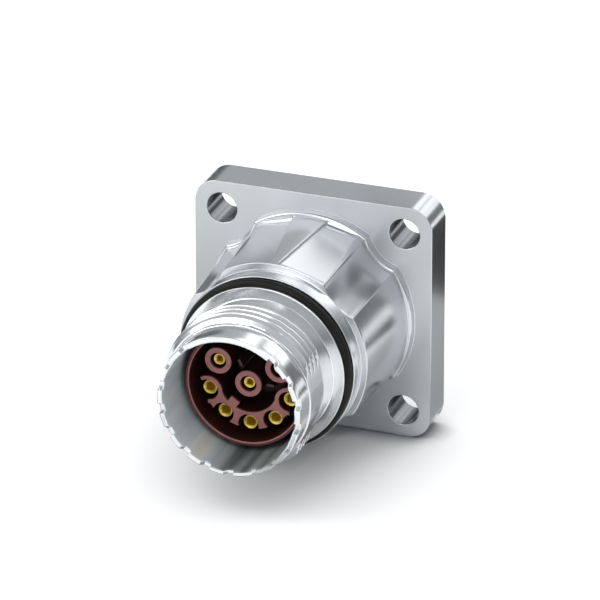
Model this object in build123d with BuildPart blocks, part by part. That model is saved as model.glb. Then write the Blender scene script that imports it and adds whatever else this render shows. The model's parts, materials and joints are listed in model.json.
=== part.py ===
from build123d import *
from math import acos, cos, degrees, radians, sin
import os

# Panel-mounted circular connector: a square flange carries a tapered round body, and a turned
# sleeve with a short coupling thread and a notched rim stands out of the body towards the user.
# Lengths are millimetres and angles are degrees. X is to the right seen from the mating side,
# Z is up along the flange, and the socket faces -Y. The origin is the centre of the flange's
# back face. A station is a distance from that face towards the mating side, so -Y is positive.

# Flange
flange_width = 26.0
flange_thickness = 4.4
flange_corner_radius = 2.5
screw_edge_distance = 3.0
screw_hole_diameter = 3.3
hole_edge_break = 0.12
flange_edge_break = 0.15

# Tapered body and its collar
body_taper = 0.6
collar_width = 0.7
collar_station = 16.4
collar_rim_thickness = 0.35
collar_edge_break = 0.1
base_bead_width = 0.4
base_bead_height = 0.9
base_bead_round = 0.25

# Clearance scallops for the screw heads, parallel to the tapered wall
scallop_radius = 4.7
scallop_depth_at_collar = 0.8
scallop_first_angle = 45.0
scallop_count = 4

# Flats either side of the wedge that marks the top
wedge_half_angle_at_collar = 2.8
wedge_half_angle_at_base = 10.2
wedge_step = 0.25
top_angle = 90.0

# Boss in front of the collar
boss_wall = 1.08
boss_station = 18.3
boss_edge_break = 0.1

# Bores of the body
rear_bore_step = 0.45
sleeve_seat_station = 8.0

# Turned sleeve
sleeve_wall = 0.87
seal_groove_width = 1.0
ring_height = 0.48
ring_thickness = 0.5
relief_depth = 0.8
relief_length = 2.9
thread_radius = 8.5
thread_length = 3.9
thread_lead = 0.6
thread_run_out = 0.3
neck_step = 0.82
rim_station = 29.7
rim_edge_break = 0.06
rim_wall = 0.57
insert_seat_step = 0.44
insert_seat_station = 18.0

# Gap in the thread, through which the ribs of a quick-lock nut slide on before it turns
lock_gap_upper_angle = 34.0
lock_gap_floor_top_angle = 11.0
lock_gap_floor_end_angle = -27.0
lock_gap_lower_angle = -45.0
lock_gap_floor_step = 0.04

# Coding notches in the rim
notch_pitch_angle = 20.0
notch_first_angle = 130.0
notch_count = 15
notch_angle = 8.5
notch_depth = 0.5
notch_slope = 0.35

# Front insert
insert_clearance = 0.05
insert_joint_station = 12.0
skirt_gap = 0.64
skirt_wall = 0.42
skirt_station = 24.9
skirt_edge_break = 0.1
floor_height = 0.5
tower_station = 23.8
tower_radius = 1.42
tower_bore_radius = 0.87
tower_edge_distance = 2.19
tower_angle = 32.5
island_inner_width = 1.39
island_outer_width = 0.44
pocket_radius = 1.11
hook_wall = 0.4
hook_opening_half_angle = 72.0
key_angle = 235.0
key_width = 1.07
key_height = 0.77
rib_angles = (118.0, 358.0)
rib_width = 0.3
rib_gap = 0.38
rib_length = 0.8
rib_drop = 0.5

# Contacts on the arc and in the towers
arc_edge_distance = 1.49
arc_step_angle = 36.5
arc_count = 5
arc_contact_radius = 0.73
arc_contact_station = 23.15
tower_contact_radius = 0.58
tower_contact_station = 23.4
contact_clearance = 0.04
cap_wall = 0.08
cap_length = 3.2
cap_lip = 0.2
cap_lip_width = 0.1
cap_rim_width = 0.05
tine_wall = 0.12
pin_depth = 3.6
slot_width = 0.16
slot_count = 4
shoulder_radius = 1.05
shoulder_length = 1.5
barrel_radius = 0.95
barrel_bore_radius = 0.65
barrel_bore_depth = 4.5
barrel_station = 1.7

# Rear insert and its retaining ring
rear_insert_station = 3.0
locating_flange_length = 2.6
retaining_ring_width = 1.05
retaining_ring_station = 1.2
spanner_slot_width = 1.6

# Seal ring in the flange's back face
flange_seal_cord = 1.5
flange_seal_land = 1.35

# How far a cutter runs past the face it leaves, and how closely faces are picked by place
cut_overrun = 1.0
pick_tolerance = 0.01

# Derived sizes
screw_spacing = flange_width - 2 * screw_edge_distance
relief_radius = thread_radius - relief_depth
neck_radius = thread_radius - neck_step
lock_gap_floor_radius = relief_radius + lock_gap_floor_step
socket_radius = neck_radius - rim_wall
insert_seat_radius = socket_radius + insert_seat_step
press_radius = insert_seat_radius + sleeve_wall
rear_bore_radius = insert_seat_radius + rear_bore_step
ring_radius = press_radius + ring_height
boss_radius = press_radius + boss_wall
body_collar_radius = boss_radius + collar_width
body_root_radius = body_collar_radius + body_taper
ring_rear_station = boss_station + seal_groove_width
ring_front_station = ring_rear_station + ring_thickness
thread_station = ring_front_station + relief_length
thread_end_station = thread_station + thread_length
bead_station = flange_thickness + base_bead_height
scallop_angles = [scallop_first_angle + 360 / scallop_count * i for i in range(scallop_count)]
insert_radius = insert_seat_radius - insert_clearance
floor_station = insert_seat_station + floor_height
locating_flange_radius = rear_bore_radius - insert_clearance
retaining_ring_inner_radius = locating_flange_radius - retaining_ring_width
groove_outer_radius = rear_bore_radius + flange_seal_land + flange_seal_cord
skirt_outer_radius = socket_radius - skirt_gap
skirt_inner_radius = skirt_outer_radius - skirt_wall
tower_circle_radius = skirt_inner_radius - tower_edge_distance
arc_circle_radius = skirt_inner_radius - arc_edge_distance
island_inner_radius = arc_circle_radius - island_inner_width
island_outer_radius = arc_circle_radius + island_outer_width
key_inner_radius = island_inner_radius - key_height
rib_inner_radius = tower_radius + rib_gap

mating_axis = Axis((0, 0, 0), (0, -1, 0))
front = Plane(origin=(0, 0, 0), x_dir=(1, 0, 0), z_dir=(0, -1, 0))
section = Plane(origin=(0, 0, 0), x_dir=(1, 0, 0), z_dir=(0, 0, -1))

arc_angles = [270 + arc_step_angle * (i - (arc_count - 1) / 2) for i in range(arc_count)]
tower_places = [
    (tower_circle_radius, 180 - tower_angle),
    (tower_circle_radius, tower_angle),
    (0.0, 0.0),
]
arc_places = [(arc_circle_radius, angle) for angle in arc_angles]
contact_places = arc_places + tower_places

os.makedirs("parts", exist_ok=True)


def flat_point(radius, angle):
    """A point of a sketch that lies across the mating axis."""
    return (radius * cos(radians(angle)), radius * sin(radians(angle)))


def space_point(radius, angle, station):
    """A point in the part's frame from its radius, angle and station."""
    x, z = flat_point(radius, angle)
    return Vector(x, -station, z)


def write(piece, name):
    """Labels a finished piece and writes it as one file."""
    piece.part.label = name
    export_step(piece.part, f"parts/{name}.step")


def body_radius(station):
    """Radius of the tapered wall at a station."""
    share = (station - flange_thickness) / (collar_station - flange_thickness)
    return body_root_radius + (body_collar_radius - body_root_radius) * share


def scallop_centre(station):
    """Radius at which a scallop's centre lies at a station; it follows the tapered wall."""
    return body_radius(station) - scallop_depth_at_collar + scallop_radius


def scallop_half_angle(station):
    """Half the angle that a scallop takes out of the body at a station."""
    radius = body_radius(station)
    centre = scallop_centre(station)
    cosine = (radius**2 + centre**2 - scallop_radius**2) / (2 * radius * centre)
    return degrees(acos(cosine))


def top_flat(side):
    """Plane and outline of one flat beside the top wedge; side is -1 for left and 1 for right."""
    head_station = collar_station - collar_rim_thickness
    collar_edge = top_angle - side * wedge_half_angle_at_collar
    base_edge = top_angle - side * wedge_half_angle_at_base
    scallop_edge = top_angle - side * (scallop_first_angle - scallop_half_angle(collar_station))
    near = space_point(body_radius(head_station) - wedge_step, collar_edge, head_station)
    far = space_point(body_radius(head_station), scallop_edge, head_station)
    rear = space_point(body_radius(bead_station) - wedge_step, base_edge, bead_station)
    across = far - near
    past_corner = across + across.normalized() * cut_overrun
    outward = across.cross(rear - near)
    if outward.Z < 0:
        outward = outward * -1
    plane = Plane(origin=near, x_dir=across, z_dir=outward)
    corners = [near, near + past_corner, rear + past_corner, rear]
    return plane, [plane.to_local_coords(point) for point in corners]


# Flange housing: foot bead, tapered body with its scallops and flats, then the square flange
with BuildPart() as flange_housing:
    # Bead round the foot of the body, which follows the scallops
    with BuildSketch(front.offset(flange_thickness)):
        Circle(body_radius(bead_station) + base_bead_width)
        with PolarLocations(scallop_centre(bead_station), scallop_count, start_angle=scallop_first_angle):
            Circle(scallop_radius - base_bead_width, mode=Mode.SUBTRACT)
    extrude(amount=base_bead_height)
    fillet(edges().group_by(Axis.Y)[0], radius=base_bead_round)
    # Tapered body
    with BuildSketch(section):
        with BuildLine():
            Polyline(
                (0, bead_station),
                (body_radius(bead_station), bead_station),
                (body_collar_radius, collar_station),
                (0, collar_station),
                close=True,
            )
        make_face()
    revolve(axis=mating_axis)
    for side in (-1, 1):
        flat_plane, flat_outline = top_flat(side)
        with BuildSketch(flat_plane):
            with BuildLine():
                Polyline(*[(point.X, point.Y) for point in flat_outline], close=True)
            make_face()
        extrude(amount=body_root_radius, mode=Mode.SUBTRACT)
    for corner_angle in scallop_angles:
        root = space_point(scallop_centre(bead_station), corner_angle, bead_station)
        crown = space_point(scallop_centre(collar_station), corner_angle, collar_station)
        with BuildSketch(front.offset(bead_station)):
            with Locations(flat_point(scallop_centre(bead_station), corner_angle)):
                Circle(scallop_radius)
        extrude(amount=(crown - root).length + cut_overrun, dir=crown - root, mode=Mode.SUBTRACT)
    chamfer(edges().group_by(Axis.Y)[0], length=collar_edge_break)
    # Square flange
    with BuildSketch(front):
        RectangleRounded(flange_width, flange_width, flange_corner_radius)
    extrude(amount=flange_thickness)
    flat_faces = faces().filter_by(Plane.XZ)
    flange_front = flat_faces.filter_by_position(
        Axis.Y, -flange_thickness - pick_tolerance, -flange_thickness + pick_tolerance
    )[0]
    flange_back = flat_faces.sort_by(Axis.Y)[-1]
    chamfer(
        flange_front.outer_wire().edges() + flange_back.outer_wire().edges(),
        length=flange_edge_break,
    )
    # Boss in front of the collar
    with BuildSketch(front.offset(collar_station)):
        Circle(boss_radius)
    extrude(amount=boss_station - collar_station)
    chamfer(
        edges().filter_by(GeomType.CIRCLE).group_by(Axis.Y)[0],
        length=boss_edge_break,
    )
    # Stepped bore for the sleeve and the inserts
    with BuildSketch(front):
        Circle(rear_bore_radius)
    extrude(amount=sleeve_seat_station, mode=Mode.SUBTRACT)
    with BuildSketch(front.offset(sleeve_seat_station)):
        Circle(press_radius)
    extrude(amount=boss_station - sleeve_seat_station, mode=Mode.SUBTRACT)
    # Seal groove in the back face
    with BuildSketch(front):
        Circle(groove_outer_radius)
        Circle(groove_outer_radius - flange_seal_cord, mode=Mode.SUBTRACT)
    extrude(amount=flange_seal_cord, mode=Mode.SUBTRACT)
    # Screw holes
    with BuildSketch(front):
        with GridLocations(screw_spacing, screw_spacing, 2, 2):
            Circle(screw_hole_diameter / 2)
    extrude(amount=flange_thickness, mode=Mode.SUBTRACT)
    hole_edges = (
        edges()
        .filter_by(GeomType.CIRCLE)
        .filter_by(lambda edge: abs(edge.radius - screw_hole_diameter / 2) < pick_tolerance)
    )
    chamfer(hole_edges, length=hole_edge_break)
write(flange_housing, "flange_housing")


def lock_gap_outline():
    """Lines round the gap in the thread: its floor, and a ramp up past the crests at each end."""
    upper_foot = Vector(*flat_point(lock_gap_floor_radius, lock_gap_floor_top_angle))
    upper_crest = Vector(*flat_point(thread_radius, lock_gap_upper_angle))
    lower_foot = Vector(*flat_point(lock_gap_floor_radius, lock_gap_floor_end_angle))
    lower_crest = Vector(*flat_point(thread_radius, lock_gap_lower_angle))
    upper_end = upper_crest + (upper_crest - upper_foot).normalized() * cut_overrun
    lower_end = lower_crest + (lower_crest - lower_foot).normalized() * cut_overrun
    middle_angle = (lock_gap_upper_angle + lock_gap_lower_angle) / 2
    Line(upper_end, upper_foot)
    CenterArc(
        (0, 0),
        lock_gap_floor_radius,
        lock_gap_floor_end_angle,
        lock_gap_floor_top_angle - lock_gap_floor_end_angle,
    )
    Line(lower_foot, lower_end)
    ThreePointArc(lower_end, flat_point(thread_radius + cut_overrun, middle_angle), upper_end)


# Turned sleeve: press fit behind, seal groove, ring, thread envelope, neck and notched rim
with BuildPart() as threaded_sleeve:
    with BuildSketch(section):
        with BuildLine():
            Polyline(
                (insert_seat_radius, sleeve_seat_station),
                (press_radius, sleeve_seat_station),
                (press_radius, ring_rear_station),
                (ring_radius, ring_rear_station),
                (ring_radius, ring_front_station),
                (relief_radius, ring_front_station),
                (relief_radius, thread_station),
                (thread_radius - thread_run_out, thread_station),
                (thread_radius, thread_station + thread_run_out),
                (thread_radius, thread_end_station - thread_lead),
                (thread_radius - thread_lead, thread_end_station),
                (neck_radius, thread_end_station),
                (neck_radius, rim_station),
                (socket_radius, rim_station),
                (socket_radius, insert_seat_station),
                (insert_seat_radius, insert_seat_station),
                close=True,
            )
        make_face()
    revolve(axis=mating_axis)
    with BuildSketch(front.offset(thread_station - cut_overrun)):
        with BuildLine():
            lock_gap_outline()
        make_face()
    extrude(amount=thread_length + 2 * cut_overrun, mode=Mode.SUBTRACT)
    chamfer(
        edges().filter_by(GeomType.CIRCLE).group_by(Axis.Y)[0],
        length=rim_edge_break,
    )
    half_notch = radians(notch_angle / 2) * neck_radius
    for i in range(notch_count):
        angle = notch_first_angle + notch_pitch_angle * i
        foot = space_point(socket_radius - cut_overrun, angle, rim_station)
        outward = space_point(1, angle, 0)
        with BuildSketch(Plane(origin=foot, x_dir=(0, -1, 0), z_dir=outward)):
            with BuildLine():
                Polyline(
                    (cut_overrun, -half_notch),
                    (-notch_depth, -half_notch),
                    (-notch_depth, half_notch - notch_slope),
                    (0, half_notch),
                    (cut_overrun, half_notch),
                    close=True,
                )
            make_face()
        extrude(amount=neck_radius - socket_radius + 2 * cut_overrun, mode=Mode.SUBTRACT)
write(threaded_sleeve, "threaded_sleeve")

# Seal ring that fills the groove between the boss and the sleeve's ring
with BuildPart() as coupling_seal:
    with BuildSketch(section):
        with Locations((press_radius + seal_groove_width / 2, boss_station + seal_groove_width / 2)):
            Circle(seal_groove_width / 2)
    revolve(axis=mating_axis)
write(coupling_seal, "coupling_seal")

# Seal ring in the flange's back face, squeezed flush as when fixed to a panel
with BuildPart() as flange_seal:
    with BuildSketch(section):
        with Locations((groove_outer_radius - flange_seal_cord / 2, flange_seal_cord / 2)):
            Circle(flange_seal_cord / 2)
    revolve(axis=mating_axis)
write(flange_seal, "flange_seal")

# Front insert: seat disc, skirt, towers and the arc-shaped island with its open pockets
with BuildPart() as front_insert:
    with BuildSketch(front.offset(insert_joint_station)):
        Circle(insert_radius)
    extrude(amount=insert_seat_station - insert_joint_station)
    with BuildSketch(front.offset(insert_seat_station)):
        Circle(skirt_outer_radius)
    extrude(amount=floor_station - insert_seat_station)
    with BuildSketch(front.offset(floor_station)):
        Circle(skirt_outer_radius)
        Circle(skirt_inner_radius, mode=Mode.SUBTRACT)
    extrude(amount=skirt_station - floor_station)
    chamfer(
        edges().filter_by(GeomType.CIRCLE).group_by(Axis.Y)[0],
        length=skirt_edge_break,
    )
    with BuildSketch(front.offset(floor_station)):
        with BuildLine():
            start = arc_angles[0]
            sweep_angle = arc_angles[-1] - arc_angles[0]
            CenterArc((0, 0), island_outer_radius, start, sweep_angle)
            CenterArc((0, 0), island_inner_radius, start, sweep_angle)
            for end_angle in (arc_angles[0], arc_angles[-1]):
                Line(flat_point(island_inner_radius, end_angle),
                     flat_point(island_outer_radius, end_angle))
        make_face()
        for end_angle in (arc_angles[0], arc_angles[-1]):
            with Locations(flat_point(arc_circle_radius, end_angle)):
                Circle(pocket_radius + hook_wall)
        with Locations(*[flat_point(*place) for place in arc_places]):
            Circle(pocket_radius, mode=Mode.SUBTRACT)
        mouth = 2 * (pocket_radius + hook_wall)
        mouth_x, mouth_y = flat_point(mouth, hook_opening_half_angle)
        for end_angle in (arc_angles[0], arc_angles[-1]):
            with Locations(Location(flat_point(arc_circle_radius, end_angle), end_angle)):
                Polygon(
                    (0, 0),
                    (mouth_x, -mouth_y),
                    (mouth, -mouth_y),
                    (mouth, mouth_y),
                    (mouth_x, mouth_y),
                    align=None,
                    mode=Mode.SUBTRACT,
                )
        key_length = island_inner_radius + hook_wall - key_inner_radius
        with Locations(Location(flat_point(key_inner_radius + key_length / 2, key_angle), key_angle)):
            Rectangle(key_length, key_width)
        with Locations(*[flat_point(*place) for place in tower_places]):
            Circle(tower_radius)
    extrude(amount=tower_station - floor_station)
    with BuildSketch(front.offset(floor_station)):
        for rib_angle in rib_angles:
            with Locations(Location(flat_point(rib_inner_radius + rib_length / 2, rib_angle), rib_angle)):
                Rectangle(rib_length, rib_width)
    extrude(amount=tower_station - rib_drop - floor_station)
    with BuildSketch(front.offset(tower_station)):
        with Locations(*[flat_point(*place) for place in tower_places]):
            Circle(tower_bore_radius)
    extrude(amount=floor_station - tower_station, mode=Mode.SUBTRACT)
    with BuildSketch(front.offset(insert_joint_station)):
        with Locations(*[flat_point(*place) for place in arc_places]):
            Circle(arc_contact_radius + contact_clearance)
        with Locations(*[flat_point(*place) for place in tower_places]):
            Circle(tower_contact_radius + contact_clearance)
    extrude(amount=floor_station - insert_joint_station, mode=Mode.SUBTRACT)
write(front_insert, "front_insert")

# Rear insert: clamps the contacts' shoulders against the front insert
with BuildPart() as rear_insert:
    with BuildSketch(front.offset(rear_insert_station)):
        Circle(insert_radius)
    extrude(amount=insert_joint_station - rear_insert_station)
    with BuildSketch(front.offset(rear_insert_station)):
        Circle(locating_flange_radius)
    extrude(amount=locating_flange_length)
    with BuildSketch(front.offset(rear_insert_station)):
        with Locations(*[flat_point(*place) for place in contact_places]):
            Circle(barrel_radius + contact_clearance)
    extrude(amount=insert_joint_station - rear_insert_station, mode=Mode.SUBTRACT)
    with BuildSketch(front.offset(insert_joint_station - shoulder_length)):
        with Locations(*[flat_point(*place) for place in contact_places]):
            Circle(shoulder_radius + contact_clearance)
    extrude(amount=shoulder_length, mode=Mode.SUBTRACT)
write(rear_insert, "rear_insert")

# Retaining ring in the rear bore, with two slots for a pin spanner
with BuildPart() as retaining_ring:
    with BuildSketch(front.offset(retaining_ring_station)):
        Circle(locating_flange_radius)
        Circle(retaining_ring_inner_radius, mode=Mode.SUBTRACT)
    extrude(amount=rear_insert_station - retaining_ring_station)
    with BuildSketch(front.offset(retaining_ring_station)):
        Rectangle(2 * (rear_bore_radius + cut_overrun), spanner_slot_width)
    extrude(amount=(rear_insert_station - retaining_ring_station) / 2, mode=Mode.SUBTRACT)
write(retaining_ring, "retaining_ring")


def turned_contact(radius, tip_station, place):
    """Slotted socket body of one contact, with its shoulder and crimp barrel."""
    tine_radius = radius - cap_wall - contact_clearance / 2
    pin_bore_radius = tine_radius - tine_wall
    cap_station = tip_station - cap_length
    tine_station = tip_station - cap_lip
    shoulder_station = insert_joint_station - shoulder_length
    origin = space_point(*place, 0)
    axis_plane = Plane(origin=origin, x_dir=(1, 0, 0), z_dir=(0, 0, -1))
    with BuildPart() as contact:
        with BuildSketch(axis_plane):
            with BuildLine():
                Polyline(
                    (0, barrel_station + barrel_bore_depth),
                    (barrel_bore_radius, barrel_station + barrel_bore_depth),
                    (barrel_bore_radius, barrel_station),
                    (barrel_radius, barrel_station),
                    (barrel_radius, shoulder_station),
                    (shoulder_radius, shoulder_station),
                    (shoulder_radius, insert_joint_station),
                    (radius, insert_joint_station),
                    (radius, cap_station),
                    (tine_radius, cap_station),
                    (tine_radius, tine_station),
                    (pin_bore_radius, tine_station),
                    (pin_bore_radius, tip_station - pin_depth),
                    (0, tip_station - pin_depth),
                    close=True,
                )
            make_face()
        revolve(axis=Axis(origin, (0, -1, 0)))
        with BuildSketch(Plane(origin=space_point(*place, cap_station), x_dir=(1, 0, 0), z_dir=(0, -1, 0))):
            for i in range(slot_count // 2):
                Rectangle(2 * (radius + cut_overrun), slot_width, rotation=180 / slot_count * (2 * i + 1))
        extrude(amount=cap_length, mode=Mode.SUBTRACT)
    return contact


def contact_cap(radius, tip_station, place):
    """Closed sleeve over a contact's tines, with an inward lip that leads the pin in."""
    cap_bore_radius = radius - cap_wall
    mouth_radius = cap_bore_radius - cap_lip_width
    origin = space_point(*place, 0)
    with BuildPart() as cap:
        with BuildSketch(Plane(origin=origin, x_dir=(1, 0, 0), z_dir=(0, 0, -1))):
            with BuildLine():
                Polyline(
                    (cap_bore_radius, tip_station - cap_length),
                    (radius, tip_station - cap_length),
                    (radius, tip_station),
                    (radius - cap_rim_width, tip_station),
                    (mouth_radius, tip_station - cap_lip / 2),
                    (mouth_radius, tip_station - cap_lip),
                    (cap_bore_radius, tip_station - cap_lip),
                    close=True,
                )
            make_face()
        revolve(axis=Axis(origin, (0, -1, 0)))
    return cap


# Contacts: five on the arc, counted round from the left, then left, right and centre towers
for i, place in enumerate(contact_places):
    on_arc = i < arc_count
    radius = arc_contact_radius if on_arc else tower_contact_radius
    tip_station = arc_contact_station if on_arc else tower_contact_station
    write(turned_contact(radius, tip_station, place), f"contact_{i + 1}")
    write(contact_cap(radius, tip_station, place), f"contact_cap_{i + 1}")
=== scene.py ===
import json
import math

import bmesh
import bpy
import numpy as np
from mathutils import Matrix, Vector, geometry


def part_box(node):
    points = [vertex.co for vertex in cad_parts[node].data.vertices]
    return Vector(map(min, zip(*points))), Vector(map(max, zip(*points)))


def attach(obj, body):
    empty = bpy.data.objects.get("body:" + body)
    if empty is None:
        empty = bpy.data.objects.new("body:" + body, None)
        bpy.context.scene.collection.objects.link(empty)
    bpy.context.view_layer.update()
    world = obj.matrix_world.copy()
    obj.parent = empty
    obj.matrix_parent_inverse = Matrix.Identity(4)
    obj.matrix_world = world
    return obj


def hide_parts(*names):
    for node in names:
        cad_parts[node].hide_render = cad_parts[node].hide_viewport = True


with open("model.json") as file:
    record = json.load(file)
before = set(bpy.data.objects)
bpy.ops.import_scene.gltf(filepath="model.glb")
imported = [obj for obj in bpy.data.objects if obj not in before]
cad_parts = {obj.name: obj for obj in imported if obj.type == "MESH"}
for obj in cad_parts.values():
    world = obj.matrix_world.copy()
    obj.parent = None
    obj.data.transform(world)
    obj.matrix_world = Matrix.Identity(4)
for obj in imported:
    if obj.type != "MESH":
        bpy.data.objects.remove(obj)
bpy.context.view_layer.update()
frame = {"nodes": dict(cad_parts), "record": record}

# Panel-mounted circular connector: a die-cast flange housing, a turned sleeve with a quick-lock
# thread, a moulded insert and gold contacts. Named sizes are millimetres and angles are degrees,
# unless a comment says otherwise. A station is a distance from the flange's back face towards
# the mating side, which is -Y. Everything handed to Blender is in metres.
MM = 0.001


def node_radius(node):
    """Half of a node's width across the mating axis, from the frame."""
    low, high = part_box(node)
    return (high.x - low.x) / 2 / MM


def node_stations(node):
    """Stations of a node's rear and front ends, from the frame."""
    low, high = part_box(node)
    return -high.y / MM, -low.y / MM


flange_half = node_radius("flange_housing")
boss_station = node_stations("flange_housing")[1]
ring_radius = node_radius("threaded_sleeve")
sleeve_seat_station, rim_station = node_stations("threaded_sleeve")

# Angles between faces from which an edge stays sharp
CAST_SHARP = 38.0
TURNED_SHARP = 50.0
MOULDED_SHARP = 80.0

# Distance for welding in metres, the part of a normal along the axis that marks an end face,
# and the steps in which a profile's corners are rounded
WELD_METRES = 1e-7
ACROSS_AXIS = 0.99999
BEND_STEPS = 4


def smoothstep(low, high, value):
    """0 below the low value and 1 above the high one, with a smooth step between them."""
    share = np.clip((value - low) / (high - low), 0.0, 1.0)
    return share * share * (3 - 2 * share)


def soft_min(first, second, blend):
    """The smaller of two radii, with the corner between them rounded over the blend width."""
    share = np.clip(0.5 + 0.5 * (second - first) / blend, 0.0, 1.0)
    return second * (1 - share) + first * share - blend * share * (1 - share)


def plane_reach(normal_x, normal_z, distance, angles, least):
    """Radius at each angle of a plane at a distance from the axis; a grazing look counts as the least."""
    turn = np.radians(angles)
    facing = normal_x * np.cos(turn) + normal_z * np.sin(turn)
    return distance / np.where(np.abs(facing) < least, least, facing)


def quarter_turn(steps):
    """Points along a rounded edge, as shares of its radius: how far in it is, and how far back."""
    turns = [math.radians(90 * step / steps) for step in range(steps + 1)]
    return [(1 - math.cos(turn), 1 - math.sin(turn)) for turn in turns]


def rounded_path(corners):
    """A closed profile of (radius, station, bend) corners, with each corner rounded by an arc."""
    count = len(corners)
    path = []
    for i, (radius, station, bend) in enumerate(corners):
        if bend <= 0:
            path.append((radius, station))
            continue
        here = Vector((radius, station))
        before = Vector(corners[i - 1][:2]) - here
        after = Vector(corners[(i + 1) % count][:2]) - here
        start = here + before.normalized() * bend
        end = here + after.normalized() * bend
        for step in range(BEND_STEPS + 1):
            t = step / BEND_STEPS
            spot = start * (1 - t) ** 2 + here * 2 * t * (1 - t) + end * t**2
            path.append((spot.x, spot.y))
    return path


def grid_points(angles, rows):
    """Vertices of a grid; each row is a radius and a station, as numbers or arrays over the angles."""
    turn = np.radians(angles)
    verts = []
    for radius, station in rows:
        radius = np.broadcast_to(np.asarray(radius, float), turn.shape)
        station = np.broadcast_to(np.asarray(station, float), turn.shape)
        ring = np.stack([radius * np.cos(turn), -station, radius * np.sin(turn)], axis=1) * MM
        verts.extend(map(tuple, ring.tolist()))
    return verts


def grid_faces(rows, columns):
    """Quads of a grid whose columns wrap round."""
    faces = []
    for i in range(rows - 1):
        below = i * columns
        above = below + columns
        for j in range(columns):
            k = (j + 1) % columns
            faces.append((below + j, below + k, above + k, above + j))
    return faces


def mark_edges(build, sharp_angle):
    """Smooths the faces, but keeps steep edges and the outlines of flat end faces sharp."""
    for face in build.faces:
        face.smooth = True
    for edge in build.edges:
        across = [abs(face.normal.y) > ACROSS_AXIS for face in edge.link_faces]
        if edge.calc_face_angle(0.0) > math.radians(sharp_angle) or len(set(across)) > 1:
            edge.smooth = False


def finish_mesh(name, verts, faces, sharp_angle):
    """A welded mesh object whose large faces stay flat beside their small rounded edges."""
    mesh = bpy.data.meshes.new(name)
    mesh.from_pydata(verts, [], faces)
    build = bmesh.new()
    build.from_mesh(mesh)
    bmesh.ops.remove_doubles(build, verts=build.verts, dist=WELD_METRES)
    bmesh.ops.recalc_face_normals(build, faces=build.faces)
    mark_edges(build, sharp_angle)
    build.to_mesh(mesh)
    build.free()
    piece = bpy.data.objects.new(name, mesh)
    bpy.context.scene.collection.objects.link(piece)
    normals = piece.modifiers.new("normals", "WEIGHTED_NORMAL")
    normals.mode = "FACE_AREA"
    normals.keep_sharp = True
    return piece


# Housing, repeated from the part's driving dimensions
FLANGE_THICKNESS = 4.4
FLANGE_CORNER = 2.5
FLANGE_EDGE = 0.09
SCREW_SPACING = 20.0
HOLE_RADIUS = 1.65
HOLE_EDGE = 0.1
BODY_ROOT = 10.8
BODY_COLLAR = 10.2
COLLAR_STATION = 16.4
COLLAR_RIM = 0.35
HEAD_STATION = COLLAR_STATION - COLLAR_RIM
BEAD_WIDTH = 0.4
BEAD_STATION = 5.3
BEAD_ROUND = 0.28
SCALLOP_RADIUS = 4.7
SCALLOP_DEPTH = 0.8
SCALLOP_ANGLE = 45.0
WEDGE_AT_COLLAR = 2.8
WEDGE_AT_BASE = 10.2
WEDGE_STEP = 0.25
BOSS_RADIUS = 9.5
PRESS_RADIUS = 8.42
REAR_BORE = 8.0
GROOVE_OUTER = 10.85
GROOVE_WIDTH = 1.5
GROOVE_DEPTH = 1.5
TOP = 90.0

# Small cast forms. A foot is the fillet where a form meets the face under it, as steps out and up
CAST_BLEND = 0.09
CAST_EDGE = 0.1
BEAD_FOOT = ((0.12, 0.0), (0.03, 0.04), (0.0, 0.14))
BODY_FOOT = ((0.10, -0.01), (0.03, 0.03))
BOSS_FOOT = ((0.08, 0.0), (0.02, 0.02), (0.0, 0.08))
BODY_FOOT_TOP = 0.12
RIM_STEP = (-0.06, 0.02)
WEDGE_BLEND = 0.5

# Fineness of the housing's mesh; the wall's even rows run between the bead and the collar's rim
HOUSING_COLUMNS = 900
CORNER_STEPS = 16
HOLE_SIDES = 72
WALL_ROWS = 40
WALL_FROM_BEAD = 0.5
WALL_TO_RIM = 0.12
RIM_ROWS = (-0.04, 0.0, 0.04)

# Limits that keep the walls' radii and the filled faces sound
GRAZING_FLAT = 0.2
FAR_OUT = 99.0
SCALLOP_ESCAPE = 4.0
DELAUNAY_INSIDE = 1
DELAUNAY_CLOSE = 1e-6
TOUCHING = 1e-4


def body_radius(station):
    """Radius of the body's taper at a station."""
    share = (station - FLANGE_THICKNESS) / (COLLAR_STATION - FLANGE_THICKNESS)
    return BODY_ROOT + (BODY_COLLAR - BODY_ROOT) * share


def scallop_wall(angles, station, clearance):
    """Radius of the scallops' concave walls seen from the axis; far out where no scallop is."""
    centre = body_radius(station) - SCALLOP_DEPTH + SCALLOP_RADIUS
    radius = SCALLOP_RADIUS - clearance
    off = np.radians(angles % 90.0 - SCALLOP_ANGLE)
    aside = centre * np.sin(off)
    ahead = centre * np.cos(off)
    wall = ahead - np.sqrt(np.maximum(radius**2 - aside**2, 0.0))
    beyond = np.abs(aside) - radius
    return np.where(beyond < 0, wall, ahead + SCALLOP_ESCAPE * np.maximum(beyond, 0.0))


def scallop_edge():
    """Angle from the top at which the scallops start at the collar."""
    radius = body_radius(COLLAR_STATION)
    centre = radius - SCALLOP_DEPTH + SCALLOP_RADIUS
    cosine = (radius**2 + centre**2 - SCALLOP_RADIUS**2) / (2 * radius * centre)
    return SCALLOP_ANGLE - math.degrees(math.acos(cosine))


def corner_of_flat(radius, from_top, station):
    """Point in mm, from a radius, an angle from the top towards the right, and a station."""
    turn = math.radians(TOP - from_top)
    return Vector((radius * math.cos(turn), -station, radius * math.sin(turn)))


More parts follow.
